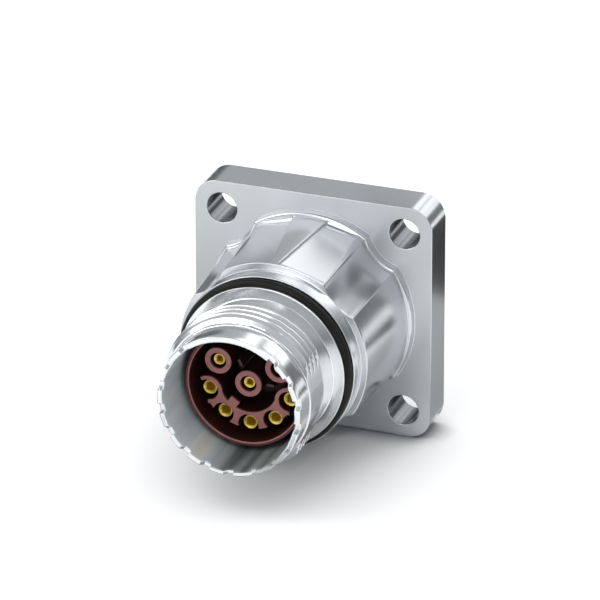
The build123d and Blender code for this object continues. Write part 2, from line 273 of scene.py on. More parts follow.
def flat_wall(angles, station, side):
    """Radius of the flat beside the top wedge; side is -1 for left and 1 for right."""
    head_radius = body_radius(HEAD_STATION)
    rear_radius = body_radius(BEAD_STATION) - WEDGE_STEP
    near = corner_of_flat(head_radius - WEDGE_STEP, side * WEDGE_AT_COLLAR, HEAD_STATION)
    far = corner_of_flat(head_radius, side * scallop_edge(), HEAD_STATION)
    rear = corner_of_flat(rear_radius, side * WEDGE_AT_BASE, BEAD_STATION)
    normal = (far - near).cross(rear - near).normalized()
    distance = normal.dot(near) + normal.y * station
    wall = plane_reach(normal.x, normal.z, distance, angles, GRAZING_FLAT)
    return np.where(wall > 0, wall, FAR_OUT)


def body_wall(angles, station):
    """Radius of the cast wall at a station: taper, flats beside the wedge, and scallops."""
    cone = np.full(angles.shape, body_radius(station))
    share = (station - BEAD_STATION) / (HEAD_STATION - BEAD_STATION)
    wedge = WEDGE_AT_BASE + (WEDGE_AT_COLLAR - WEDGE_AT_BASE) * min(max(share, 0.0), 1.0)
    below_rim = 1 - smoothstep(HEAD_STATION + RIM_STEP[0], HEAD_STATION + RIM_STEP[1], station)
    wall = cone
    for side in (-1, 1):
        from_top = side * (TOP - angles)
        cut = soft_min(cone, flat_wall(angles, station, side), CAST_BLEND * 0.5)
        here = smoothstep(wedge - WEDGE_BLEND, wedge + WEDGE_BLEND, from_top) * below_rim
        here = np.where(from_top < SCALLOP_ANGLE, here, 0.0)
        wall = wall * (1 - here) + cut * here
    return soft_min(wall, scallop_wall(angles, station, 0.0), CAST_BLEND)


def bead_rows(angles):
    """Bead round the body's foot, which follows the scallops, and the body's own foot on it."""
    cone = np.full(angles.shape, body_radius(BEAD_STATION) + BEAD_WIDTH)
    bead = soft_min(cone, scallop_wall(angles, BEAD_STATION, BEAD_WIDTH), CAST_BLEND)
    rows = [(bead + out, FLANGE_THICKNESS + up) for out, up in BEAD_FOOT]
    rows += [(bead - BEAD_ROUND * inward, BEAD_STATION - BEAD_ROUND * back)
             for inward, back in quarter_turn(6)]
    foot = body_wall(angles, BEAD_STATION)
    rows += [(np.minimum(bead - BEAD_ROUND, foot + out), BEAD_STATION + up) for out, up in BODY_FOOT]
    return rows


def wall_rows(angles):
    """The tapered wall with its flats and scallops, and the collar's rounded edge."""
    even = np.linspace(BEAD_STATION + WALL_FROM_BEAD, HEAD_STATION - WALL_TO_RIM, WALL_ROWS)
    stations = [BEAD_STATION + BODY_FOOT_TOP, *even, *(HEAD_STATION + off for off in RIM_ROWS)]
    rows = [(body_wall(angles, station), station) for station in stations]
    crown = body_wall(angles, COLLAR_STATION)
    return rows + [(crown - CAST_EDGE * inward, COLLAR_STATION - CAST_EDGE * back)
                   for inward, back in quarter_turn(4)]


def boss_rows():
    """Round boss in front of the collar, with its foot and its rounded edge."""
    rows = [(BOSS_RADIUS + out, COLLAR_STATION + up) for out, up in BOSS_FOOT]
    return rows + [(BOSS_RADIUS - CAST_EDGE * inward, boss_station - CAST_EDGE * back)
                   for inward, back in quarter_turn(4)]


def bore_rows():
    """Press seat, rear bore and seal groove to the flange's back face: radius, station and bend."""
    groove_inner = GROOVE_OUTER - GROOVE_WIDTH
    return rounded_path([
        (PRESS_RADIUS, boss_station, 0.05), (PRESS_RADIUS, sleeve_seat_station, 0.05),
        (REAR_BORE, sleeve_seat_station, 0.1), (REAR_BORE, 0.0, 0.15),
        (groove_inner, 0.0, 0.08), (groove_inner, GROOVE_DEPTH, 0.2),
        (GROOVE_OUTER, GROOVE_DEPTH, 0.2), (GROOVE_OUTER, 0.0, 0.0),
    ])


def square_outline(inset, station):
    """Outline of the flange, inset from its sides."""
    corner = FLANGE_CORNER - inset
    middle = flange_half - FLANGE_CORNER
    verts = []
    for quarter in range(4):
        turn = math.radians(45 + 90 * quarter)
        centre_x = middle * math.copysign(1, math.cos(turn))
        centre_z = middle * math.copysign(1, math.sin(turn))
        for step in range(CORNER_STEPS + 1):
            angle = math.radians(90 * quarter + 90 * step / CORNER_STEPS)
            x = centre_x + corner * math.cos(angle)
            z = centre_z + corner * math.sin(angle)
            verts.append((x * MM, -station * MM, z * MM))
    return verts


def circle_outline(radius, station, centre):
    """Outline of a screw hole, whose centre is given across the mating axis in mm."""
    verts = []
    for i in range(HOLE_SIDES):
        turn = 2 * math.pi * i / HOLE_SIDES
        x = centre[0] + radius * math.cos(turn)
        z = centre[1] + radius * math.sin(turn)
        verts.append((x * MM, -station * MM, z * MM))
    return verts


def inside(spot, shape):
    """Whether a spot lies inside a closed outline that its centre can see all of."""
    angle = math.atan2(spot.y, spot.x)
    around = np.arctan2(shape[:, 1], shape[:, 0])
    away = np.hypot(shape[:, 0], shape[:, 1])
    order = np.argsort(around)
    reach = np.interp(angle, around[order], away[order], period=2 * math.pi)
    return spot.length < reach - TOUCHING


class Shell:
    """Collects the loops, strips and flat faces of one closed mesh."""

    def __init__(self):
        self.verts = []
        self.faces = []

    def loop(self, verts):
        start = len(self.verts)
        self.verts.extend(verts)
        return list(range(start, start + len(verts)))

    def strip(self, loops):
        for first, second in zip(loops, loops[1:]):
            for i in range(len(first)):
                j = (i + 1) % len(first)
                self.faces.append((first[i], first[j], second[j], second[i]))

    def seen_along_axis(self, ring):
        return [(self.verts[i][0] / MM, self.verts[i][2] / MM) for i in ring]

    def flat(self, outer, bore, holes):
        """Fills a face across the mating axis, between its outline, its bore and its screw holes."""
        loops = [outer, bore] + [ring for _, ring in holes]
        index = [i for ring in loops for i in ring]
        edges = []
        start = 0
        for ring in loops:
            edges.extend((start + i, start + (i + 1) % len(ring)) for i in range(len(ring)))
            start += len(ring)
        flat = [Vector(spot) for spot in self.seen_along_axis(index)]
        outline = [list(range(len(outer)))]
        filled = geometry.delaunay_2d_cdt(flat, edges, outline, DELAUNAY_INSIDE, DELAUNAY_CLOSE)
        spots, faces, origins = filled[0], filled[2], filled[3]
        bore_shape = np.array(self.seen_along_axis(bore))
        for face in faces:
            middle = sum((spots[i] for i in face), Vector((0, 0))) / len(face)
            in_hole = any((middle - Vector(centre)).length < HOLE_RADIUS + HOLE_EDGE for centre, _ in holes)
            if not in_hole and not inside(middle, bore_shape):
                self.faces.append([index[origins[i][0]] for i in face])


def flange_sides(shell):
    """Strip over the flange's sides and their rounded edges; gives its front and back outlines."""
    loops = []
    for inward, back in quarter_turn(4):
        station = FLANGE_THICKNESS - FLANGE_EDGE * inward
        loops.append(shell.loop(square_outline(FLANGE_EDGE * back, station)))
    for inward, back in quarter_turn(4):
        loops.append(shell.loop(square_outline(FLANGE_EDGE * inward, FLANGE_EDGE * back)))
    shell.strip(loops)
    return loops[0], loops[-1]


def screw_hole(shell, centre):
    """Strip down one screw hole and its rounded edges; gives its front and back outlines."""
    loops = []
    for inward, back in quarter_turn(3):
        station = FLANGE_THICKNESS - HOLE_EDGE * inward
        loops.append(shell.loop(circle_outline(HOLE_RADIUS + HOLE_EDGE * back, station, centre)))
    for inward, back in quarter_turn(3):
        loops.append(shell.loop(circle_outline(HOLE_RADIUS + HOLE_EDGE * inward, HOLE_EDGE * back, centre)))
    shell.strip(loops)
    return loops[0], loops[-1]


def make_housing():
    """The casting: body, boss, bore and groove as one strip, closed by the flange round them."""
    angles = np.arange(HOUSING_COLUMNS) * 360.0 / HOUSING_COLUMNS
    shell = Shell()
    rows = bead_rows(angles) + wall_rows(angles) + boss_rows() + bore_rows()
    loops = [shell.loop(grid_points(angles, [row])) for row in rows]
    shell.strip(loops)
    front, back = flange_sides(shell)
    front_holes, back_holes = [], []
    half = SCREW_SPACING / 2
    for centre in ((-half, -half), (half, -half), (half, half), (-half, half)):
        front_ring, back_ring = screw_hole(shell, centre)
        front_holes.append((centre, front_ring))
        back_holes.append((centre, back_ring))
    shell.flat(front, loops[0], front_holes)
    shell.flat(back, loops[-1], back_holes)
    return finish_mesh("housing_casting", shell.verts, shell.faces, CAST_SHARP)


# Sleeve and its quick-lock thread
RING_REAR = 19.3
RING_FRONT = 19.8
RELIEF_RADIUS = 7.7
THREAD_START = 22.7
THREAD_END = 26.6
THREAD_CREST = 8.5
THREAD_ROOT = 7.88
THREAD_PITCH = 1.0
THREAD_LEAD = 0.6
THREAD_RUN_OUT = 0.3
NECK_RADIUS = 7.68
SOCKET_RADIUS = 7.11
INSERT_SEAT = 7.55
INSERT_SEAT_STATION = 18.0
CREST_ANGLE = 80.0
CREST_STATION = 23.2
GAP_UPPER = 34.0
GAP_FLOOR_TOP = 11.0
GAP_FLOOR_END = -27.0
GAP_LOWER = -45.0
GAP_RADIUS = 7.74
GRAZING_RAMP = 0.1
DENT_DEPTH = 0.07
DENT_ANGLE = 58.5
DENT_WIDTH = 2.0
NOTCH_FIRST = 130.0
NOTCH_PITCH = 20.0
NOTCH_COUNT = 15
NOTCH_ANGLE = 8.5
NOTCH_DEPTH = 0.5
NOTCH_SLOPE = 2.6
RIM_OUTER_EDGE = 0.10
RIM_INNER_EDGE = 0.04

# Ends of the sleeve's even rows: behind the rim, and in front of the thread and of the seat
RIM_ZONE = 0.9
NECK_ZONE = 0.6
SEAT_ZONE = 0.2

# Points of the thread's profile: shares of the pitch from the crest's middle, and heights there
# over the root. The mesh has a row at each share on both sides, and two more down each flank.
CREST_HALF = 0.055
CREST_EDGE = 0.08
ROOT_EDGE = 0.38
ROOT_HOLLOW = 0.44
CREST_HEIGHT = THREAD_CREST - THREAD_ROOT
PROFILE_SHARES = (0.0, CREST_HALF, CREST_EDGE, ROOT_EDGE, ROOT_HOLLOW, 0.5)
PROFILE_HEIGHTS = (CREST_HEIGHT, CREST_HEIGHT, CREST_HEIGHT - 0.02, 0.035, 0.005, 0.0)
HALF_ROWS = (CREST_HALF, CREST_EDGE, 0.2, 0.3, ROOT_EDGE, ROOT_HOLLOW)
THREAD_ROWS = (-0.5, *(-share for share in reversed(HALF_ROWS)), 0.0, *HALF_ROWS)

# Columns of the sleeve's mesh: an even set, with close pairs at the corners
COLUMN_STEP = 0.75
CORNER_HALF = 0.06


def thread_profile(angles, station):
    """Radius of the thread's helical surface at each angle and station."""
    turns = (station - CREST_STATION) / THREAD_PITCH - (angles - CREST_ANGLE) / 360.0
    off = np.abs((turns + 0.5) % 1.0 - 0.5)
    return THREAD_ROOT + np.interp(off, PROFILE_SHARES, PROFILE_HEIGHTS)


def ramp_radius(angles, foot, crest):
    """Radius of the straight ramp from the gap's floor, at one angle, up to the crest at another."""
    foot, crest = math.radians(foot), math.radians(crest)
    start = GAP_RADIUS * np.array([math.cos(foot), math.sin(foot)])
    end = THREAD_CREST * np.array([math.cos(crest), math.sin(crest)])
    along = end - start
    normal = np.array([along[1], -along[0]]) / np.hypot(*along)
    return plane_reach(normal[0], normal[1], normal.dot(start), angles, GRAZING_RAMP)


def gap_ceiling(angles):
    """Radius to which the quick-lock gap cuts the thread down."""
    turn = (angles + 180.0) % 360.0 - 180.0
    ceiling = np.full(turn.shape, THREAD_CREST + 1)
    upper = (turn >= GAP_FLOOR_TOP) & (turn < GAP_UPPER)
    lower = (turn > GAP_LOWER) & (turn <= GAP_FLOOR_END)
    floor = (turn > GAP_FLOOR_END) & (turn < GAP_FLOOR_TOP)
    ceiling = np.where(upper, ramp_radius(turn, GAP_FLOOR_TOP, GAP_UPPER), ceiling)
    ceiling = np.where(lower, ramp_radius(turn, GAP_FLOOR_END, GAP_LOWER), ceiling)
    return np.where(floor, GAP_RADIUS, ceiling)


def thread_wall(angles, station):
    """Radius of the sleeve in the thread zone: thread with its dent, chamfered ends, and the gap."""
    dent = DENT_DEPTH * np.exp(-((angles - DENT_ANGLE) / DENT_WIDTH) ** 2)
    lead = THREAD_CREST - THREAD_LEAD + THREAD_END - station
    run_out = THREAD_CREST - THREAD_RUN_OUT + station - THREAD_START
    wall = np.minimum(thread_profile(angles, station) - dent, np.minimum(lead, run_out))
    return np.minimum(wall, gap_ceiling(angles))


def notch_cut(angles):
    """How far the rim is cut back at each angle: square on one side and sloped on the other."""
    depth = np.zeros(angles.shape)
    half = NOTCH_ANGLE / 2
    for i in range(NOTCH_COUNT):
        off = (angles - NOTCH_FIRST - NOTCH_PITCH * i + 180.0) % 360.0 - 180.0
        cut = np.where(off < half, np.clip((off + half) / NOTCH_SLOPE, 0.0, 1.0), 0.0)
        depth = np.maximum(depth, NOTCH_DEPTH * cut)
    return depth


def sleeve_angles():
    """Column angles of the sleeve, with a close pair at each corner of the notches and the gap."""
    angles = list(np.arange(0, 360, COLUMN_STEP))
    corners = [GAP_UPPER, GAP_FLOOR_TOP, GAP_FLOOR_END, GAP_LOWER]
    for i in range(NOTCH_COUNT):
        start = NOTCH_FIRST + NOTCH_PITCH * i - NOTCH_ANGLE / 2
        corners += [start, start + NOTCH_ANGLE, start + NOTCH_SLOPE]
    for corner in corners:
        angles += [(corner - CORNER_HALF) % 360, (corner + CORNER_HALF) % 360]
    return np.array(sorted(set(round(a, 3) for a in angles)))


def thread_mesh(angles):
    """Vertices and faces of the threaded zone; the rows climb with the helix and wrap one pitch on."""
    base = CREST_STATION - THREAD_PITCH * CREST_ANGLE / 360.0
    first = math.floor((THREAD_START - base) / THREAD_PITCH) - 1
    last = math.ceil((THREAD_END - base) / THREAD_PITCH) + 1
    rows = []
    for turn in range(first, last):
        for share in THREAD_ROWS:
            climb = base + (turn + share + angles / 360.0) * THREAD_PITCH
            station = np.clip(climb, THREAD_START, THREAD_END)
            rows.append((thread_wall(angles, station), station))
    columns = len(angles)
    faces = []
    for i in range(len(rows) - 1):
        below = i * columns
        above = below + columns
        for j in range(columns - 1):
            faces.append((below + j, below + j + 1, above + j + 1, above + j))
        wrapped = i + len(THREAD_ROWS)
        if wrapped + 1 < len(rows):
            faces.append((above - 1, wrapped * columns, (wrapped + 1) * columns, above + columns - 1))
    return grid_points(angles, rows), faces


def neck_rows(angles):
    """From the thread's front end along the neck, round the notched rim and back into the socket."""
    rows = [(thread_wall(angles, THREAD_END), THREAD_END)]
    rows += rounded_path([(NECK_RADIUS + 0.12, THREAD_END, 0.0), (NECK_RADIUS, THREAD_END, 0.1),
                          (NECK_RADIUS, THREAD_END + 0.3, 0.0)])[1:]
    even = np.linspace(THREAD_END + NECK_ZONE, rim_station - RIM_ZONE, 4)
    rows += [(NECK_RADIUS, station) for station in even]
    edge = rim_station - notch_cut(angles)
    rows += [(NECK_RADIUS - RIM_OUTER_EDGE * inward, edge - RIM_OUTER_EDGE * back)
             for inward, back in quarter_turn(4)]
    rows += [(SOCKET_RADIUS + RIM_INNER_EDGE * back, edge - RIM_INNER_EDGE * inward)
             for inward, back in quarter_turn(3)]
    return rows


def sleeve_rows():
    """Inside of the socket, the insert's seat, the press fit, the thin ring and the relief."""
    seat = INSERT_SEAT_STATION
    even = np.linspace(rim_station - RIM_ZONE, seat + SEAT_ZONE, 6)
    return [(SOCKET_RADIUS, station) for station in even] + rounded_path([
        (SOCKET_RADIUS, seat + 0.1, 0.0), (SOCKET_RADIUS, seat, 0.05),
        (INSERT_SEAT, seat, 0.05), (INSERT_SEAT, sleeve_seat_station, 0.1),
        (PRESS_RADIUS, sleeve_seat_station, 0.15), (PRESS_RADIUS, RING_REAR, 0.1),
        (ring_radius, RING_REAR, 0.07), (ring_radius, RING_FRONT, 0.07),
        (RELIEF_RADIUS, RING_FRONT, 0.12), (RELIEF_RADIUS, THREAD_START, 0.05),
        (RELIEF_RADIUS + 0.1, THREAD_START, 0.0),
    ])[:-1]


def make_sleeve():
    """The turned sleeve: its plain outline as one grid, and the thread as another, welded together."""
    angles = sleeve_angles()
    rows = neck_rows(angles) + sleeve_rows()
    rows.append((thread_wall(angles, THREAD_START), THREAD_START))
    verts = grid_points(angles, rows)
    faces = grid_faces(len(rows), len(angles))
    thread_verts, thread_faces = thread_mesh(angles)
    faces += [tuple(i + len(verts) for i in face) for face in thread_faces]
    return finish_mesh("sleeve_turning", verts + thread_verts, faces, TURNED_SHARP)


# Seal rings: how far their mesh lies inside the solid, and the thin parting line round them
SEAL_INSET = 0.02
FLASH_HEIGHT = 0.018
FLASH_SPREAD = 0.12
FLASH_INSIDE = 0.6
SEAL_AROUND = 360
SEAL_ACROSS = 40


def make_seal(name, node):
    """Moulded seal ring with the fine parting line that its mould leaves."""
    low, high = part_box(node)
    thick = (high.y - low.y) / 2
    ring = (high.x - low.x) / 2 - thick
    middle = (low.y + high.y) / 2
    verts, faces = [], []
    for i in range(SEAL_AROUND):
        turn = 2 * math.pi * i / SEAL_AROUND
        for j in range(SEAL_ACROSS):
            bend = 2 * math.pi * j / SEAL_ACROSS
            share = 1 if math.cos(bend) > 0 else FLASH_INSIDE
            flash = FLASH_HEIGHT * share * math.exp(-((math.sin(bend) / FLASH_SPREAD) ** 2))
            reach = thick + (flash - SEAL_INSET) * MM
            radius = ring + reach * math.cos(bend)
            height = middle + reach * math.sin(bend)
            verts.append((radius * math.cos(turn), height, radius * math.sin(turn)))
    for i in range(SEAL_AROUND):
        here = i * SEAL_ACROSS
        beside = (i + 1) % SEAL_AROUND * SEAL_ACROSS
        for j in range(SEAL_ACROSS):
            k = (j + 1) % SEAL_ACROSS
            faces.append((here + j, here + k, beside + k, beside + j))
    return finish_mesh(name, verts, faces, MOULDED_SHARP)


# Rounded edges that CAD nodes get where faces meet at more than the edge angle; faces that
# differ by less than the flat angle are joined first
EDGE_WIDTHS = {"front_insert": 0.06, "rear_insert": 0.1, "retaining_ring": 0.08}
EDGE_SEGMENTS = 3
EDGE_ANGLE = 50.0
FLAT_ANGLE = 0.6


def soften_edges(node, width):
    """Gives a CAD node the small rounded edges of the real piece."""
    weld = node.modifiers.new("weld", "WELD")
    weld.merge_threshold = WELD_METRES
    flat = node.modifiers.new("flat", "DECIMATE")
    flat.decimate_type = "DISSOLVE"
    flat.angle_limit = math.radians(FLAT_ANGLE)
    bevel = node.modifiers.new("edges", "BEVEL")
    bevel.width = width * MM
    bevel.segments = EDGE_SEGMENTS
    bevel.limit_method = "ANGLE"
    bevel.angle_limit = math.radians(EDGE_ANGLE)
    node.modifiers.new("normals", "WEIGHTED_NORMAL")


class Nodes:
    """Short calls for the nodes of one material or world."""

    def __init__(self, tree):
        self.tree = tree
        self.tree.nodes.clear()

    def add(self, kind, **settings):
        node = self.tree.nodes.new(kind)
        for key, value in settings.items():
            setattr(node, key, value)
        return node

    def link(self, source, target):
        if isinstance(source, bpy.types.NodeSocket):
            self.tree.links.new(source, target)
        else:
            target.default_value = source

    def math(self, operation, first, second=0.0, third=0.0):
        node = self.add("ShaderNodeMath", operation=operation)
        for socket, value in zip(node.inputs, (first, second, third)):
            self.link(value, socket)
        return node.outputs[0]

    def remap(self, value, low, high, new_low=0.0, new_high=1.0, smooth=False):
        node = self.add("ShaderNodeMapRange", interpolation_type="SMOOTHSTEP" if smooth else "LINEAR")
        for socket, number in zip(node.inputs[:5], (value, low, high, new_low, new_high)):
            self.link(number, socket)
        return node.outputs[0]

    def mix(self, share, first, second):
        node = self.add("ShaderNodeMix", data_type="RGBA")
        for socket, value in ((0, share), (6, first), (7, second)):
            self.link(value, node.inputs[socket])
        return node.outputs[2]

    def tones(self, pattern, pair, low=0.3, high=0.7):
        """Colour between a pair of tones, where a pattern goes from low to high."""
        return self.mix(self.remap(pattern, low, high), *pair)

    def between(self, pattern, pair, low=0.3, high=0.7):
        """Number between a pair of numbers, where a pattern goes from low to high."""
        return self.remap(pattern, low, high, *pair)

    def noise(self, vector, scale, detail=2.0, roughness=0.5):
        """Cloudy pattern whose scale is in waves per metre."""
        node = self.add("ShaderNodeTexNoise")
        self.link(vector, node.inputs["Vector"])
        node.inputs["Scale"].default_value = scale
        node.inputs["Detail"].default_value = detail
        node.inputs["Roughness"].default_value = roughness
        return node.outputs["Fac"]

    def bump(self, height, strength, distance):
        """Relief of a strength, over a distance in mm."""
        node = self.add("ShaderNodeBump")
        node.inputs["Strength"].default_value = strength
        node.inputs["Distance"].default_value = distance * MM
        self.link(height, node.inputs["Height"])
        return node.outputs["Normal"]

    def place(self):
        return self.add("ShaderNodeTexCoord").outputs["Object"]

    def split(self, vector):
        parts = self.add("ShaderNodeSeparateXYZ")
        self.link(vector, parts.inputs[0])
        return parts.outputs

    def combine(self, x, y, z):
        node = self.add("ShaderNodeCombineXYZ")
        for socket, value in zip(node.inputs, (x, y, z)):
            self.link(value, socket)
        return node.outputs[0]

    def length(self, first, second):
        squares = [self.math("MULTIPLY", side, side) for side in (first, second)]
        return self.math("SQRT", self.math("ADD", *squares))

    def around_axis(self, vector):
        """Radius and Y in metres, and angle in radians, round the mating axis."""
        x, y, z = self.split(vector)
        return self.length(x, z), y, self.math("ARCTAN2", z, x)

    def near_angle(self, angle, middle, full, end, most=1.0):
        """The most at an angle in radians and up to full beside it, fading to 0 at the end."""
        off = self.math("ABSOLUTE", self.math("SUBTRACT", angle, middle))
        return self.remap(off, full, end, most, 0.0, smooth=True)

    def occlusion(self, distance):
        """How open the surroundings are within a distance in mm, from 0 to 1."""
        node = self.add("ShaderNodeAmbientOcclusion", samples=16)
        node.inputs["Distance"].default_value = distance * MM
        return node.outputs["AO"]

    def output(self, shader, kind="ShaderNodeOutputMaterial"):
        self.link(shader.outputs[0], self.add(kind).inputs["Surface"])

    def surface(self, **values):
        shader = self.add("ShaderNodeBsdfPrincipled")
        for key, value in values.items():
            self.link(value, shader.inputs[key.replace("_", " ")])
        self.output(shader)


def new_material(name):
    material = bpy.data.materials.new(name)
    material.use_nodes = True
    return material, Nodes(material.node_tree)


# Tones of the finishes, as pairs from dark to light or as single tones
CAST_TONES = ((0.665, 0.690, 0.712, 1), (0.695, 0.717, 0.738, 1))
# painted shade on the screw hole walls
CAST_HOLE_SHADE = (0.26, 0.27, 0.28, 1)
TURNED_TONES = ((0.76, 0.775, 0.79, 1), (0.82, 0.83, 0.84, 1))
# tones of the painted reflection streaks in the bored socket
BORED_TONES = ((0.70, 0.81, 0.87, 1), (0.93, 0.98, 1.0, 1))
# painted shade on the bored socket's low side
BORED_SHADE_TONES = ((0.08, 0.10, 0.105, 1), (0.32, 0.34, 0.33, 1))
# painted warm reflection in the bored socket
BORED_WARM_REFLECTION = (0.86, 0.76, 0.58, 1)
RUBBER_TONES = ((0.007, 0.007, 0.006, 1), (0.014, 0.014, 0.012, 1))
# painted shade in the insulator's cavities
CAVITY_SHADE_TONES = ((0.030, 0.005, 0.004, 1), (0.040, 0.007, 0.006, 1))
INSERT_FACE_TONES = ((0.32, 0.115, 0.11, 1), (0.38, 0.145, 0.135, 1))
# painted shade on the skirt's front face
SKIRT_FACE_SHADE = (0.115, 0.030, 0.028, 1)
# painted highlight along the skirt's inner lip
SKIRT_LIP_HIGHLIGHT = (0.50, 0.22, 0.20, 1)
GOLD_TONES = ((0.98, 0.74, 0.12, 1), (1.0, 0.80, 0.20, 1))

# Roughness of the finishes, and what a flange face or a bored wall adds. Each finish stays
# wholly above or below 0.27, because a texture across that value leaves specks in a render.
CAST_ROUGHNESS = (0.20, 0.24)
CAST_FACE_ROUGHER = 0.25
TURNED_ROUGHNESS = (0.13, 0.20)
BORED_ROUGHER = 0.30
RUBBER_ROUGHNESS = (0.36, 0.50)
INSERT_ROUGHNESS = (0.40, 0.52)
GOLD_ROUGHNESS = (0.29, 0.34)
BORED_METALLIC = 0.12
GOLD_METALLIC = 0.6

# Sides of the bored socket in radians: the middle, how far beside it a side is full and where it
# ends. The low side has painted shade, and the other a painted warm reflection, whose share comes last.
SHADED_LOW_SIDE = (-1.25, 0.40, 0.80)
WARM_REFLECTION_SIDE = (-2.10, 0.0, 0.22, 0.5)

# Zones of the finishes in mm: each is a radius or station where it starts and where it is full
BORED_RADII = (7.28, 7.22)
BORED_STATIONS = (19.0, 20.0)
SKIRT_RADII = (5.9, 6.0)
# radii of the painted highlight on the skirt's lip
LIP_HIGHLIGHT_RADII = (6.18, 6.11)
# stations where the painted cavity shade gives way to the front faces
INSERT_FACE_STATIONS = (23.50, 23.66)
SKIRT_FACE_STATIONS = (24.70, 24.82)
HOLE_WALL_RADIUS = HOLE_RADIUS + 0.02


def radii_zone(n, radius, zone):
    """0 where a zone of radii starts and 1 where it is full."""
    return n.remap(radius, zone[0] * MM, zone[1] * MM)


def stations_zone(n, along, zone, smooth=True):
    """0 where a zone of stations starts and 1 where it is full; the mating side is -Y."""
    return n.remap(along, -zone[0] * MM, -zone[1] * MM, smooth=smooth)


def screw_hole_shade(n, place):
    """1 on the walls of the four screw holes, which get painted shade, and 0 elsewhere."""
    x, _, z = n.split(place)
    off = [n.math("SUBTRACT", n.math("ABSOLUTE", side), SCREW_SPACING / 2 * MM) for side in (x, z)]
    return n.math("LESS_THAN", n.length(*off), HOLE_WALL_RADIUS * MM)


def cast_nickel():
    """Satin nickel plate over a die casting: soft cloudy gloss, a fine grain, a duller flange face and
    painted shade on the screw hole walls.
    """
    material, n = new_material("cast_nickel")
    place = n.place()
    cloud = n.noise(place, scale=180.0, detail=3.0)
    grain = n.noise(place, scale=9000.0, roughness=0.6)
    _, along, _ = n.around_axis(place)
    face = n.math("COMPARE", along, -FLANGE_THICKNESS * MM, 0.02 * MM)
    # painted shade darkens the walls of the screw holes
    colour = n.mix(screw_hole_shade(n, place), n.tones(cloud, CAST_TONES), CAST_HOLE_SHADE)
    rougher = n.math("MULTIPLY", face, CAST_FACE_ROUGHER)
    rough = n.math("ADD", n.between(cloud, CAST_ROUGHNESS), rougher)
    relief = n.bump(grain, strength=0.05, distance=0.01)
    n.surface(Base_Color=colour, Metallic=1.0, Roughness=rough, Normal=relief)
    return material


def bored_colour(n, angle, along):
    """Painted reflection streaks along the bored socket, with painted shade on its low side and a painted
    warm reflection beside it.
    """
    stretched = n.combine(n.math("MULTIPLY", angle, 0.006), n.math("MULTIPLY", along, 0.05), 0.0)
    reflection_streaks = n.noise(stretched, scale=650.0, detail=3.0)
    bored = n.tones(reflection_streaks, BORED_TONES, 0.3, 0.65)
    bored = n.mix(n.near_angle(angle, *WARM_REFLECTION_SIDE), bored, BORED_WARM_REFLECTION)
    low = n.tones(reflection_streaks, BORED_SHADE_TONES, 0.35, 0.6)
    # painted shade over the low side of the socket
    return n.mix(n.near_angle(angle, *SHADED_LOW_SIDE), bored, low)


def around(n, radius, along, angle, drift):
    """Coordinates for rings round the axis that drift, in metres a radian, as they go round."""
    return n.combine(radius, along, n.math("MULTIPLY", angle, drift))


def turned_nickel():
    """Bright nickel plate over turned brass with fine tool rings; the bored inside is duller, and its
    colour holds painted reflection streaks and painted shade.
    """
    material, n = new_material("turned_nickel")
    place = n.place()
    radius, along, angle = n.around_axis(place)
    rings = n.noise(around(n, radius, along, angle, 0.00004), scale=16000.0, detail=3.0, roughness=0.6)
    bands = n.noise(around(n, radius, along, angle, 0.0002), scale=2200.0)
    cloud = n.noise(place, scale=300.0)
    bored = n.math("MULTIPLY", radii_zone(n, radius, BORED_RADII),
                   stations_zone(n, along, BORED_STATIONS, smooth=False))
    colour = n.mix(bored, n.tones(cloud, TURNED_TONES), bored_colour(n, angle, along))
    rougher = n.math("MULTIPLY", bored, BORED_ROUGHER)
    rough = n.math("ADD", n.between(bands, TURNED_ROUGHNESS), rougher)
    metal = n.remap(bored, 0.0, 1.0, 1.0, BORED_METALLIC)
    relief = n.bump(rings, strength=0.12, distance=0.008)
    n.surface(Base_Color=colour, Metallic=metal, Roughness=rough, Normal=relief)
    return material


def seal_rubber():
    """Black moulded rubber with a faint mould grain and a dusty bloom."""
    material, n = new_material("seal_rubber")
    place = n.place()
    grain = n.noise(place, scale=7000.0, detail=4.0, roughness=0.6)
    bloom = n.noise(place, scale=400.0, detail=3.0)
    colour = n.tones(bloom, RUBBER_TONES, low=0.35)
    rough = n.between(grain, RUBBER_ROUGHNESS)
    relief = n.bump(grain, strength=0.2, distance=0.02)
    n.surface(Base_Color=colour, Roughness=rough, Specular_IOR_Level=0.2, Normal=relief)
    return material


def insulator():
    """Dark red-brown moulded plastic, with painted shade down in its cavities and on the skirt's face, and
    a painted highlight on the skirt's lip.
    """
    material, n = new_material("insulator")
    place = n.place()
    grain = n.noise(place, scale=8000.0, detail=4.0, roughness=0.6)
    cloud = n.noise(place, scale=500.0, detail=3.0)
    radius, along, _ = n.around_axis(place)
    skirt = radii_zone(n, radius, SKIRT_RADII)
    lip = radii_zone(n, radius, LIP_HIGHLIGHT_RADII)
    face_front = stations_zone(n, along, INSERT_FACE_STATIONS)
    skirt_front = stations_zone(n, along, SKIRT_FACE_STATIONS)
    front = n.remap(skirt, 0.0, 1.0, face_front, skirt_front)
    # the skirt's face gets painted shade, with a painted highlight at its lip
    face = n.mix(skirt, n.tones(cloud, INSERT_FACE_TONES), n.mix(lip, SKIRT_FACE_SHADE, SKIRT_LIP_HIGHLIGHT))
    # painted shade in the cavities, behind the front faces
    colour = n.mix(front, n.tones(cloud, CAVITY_SHADE_TONES), face)
    rough = n.between(grain, INSERT_ROUGHNESS)
    relief = n.bump(grain, strength=0.2, distance=0.02)
    n.surface(Base_Color=colour, Roughness=rough, Normal=relief)
    return material


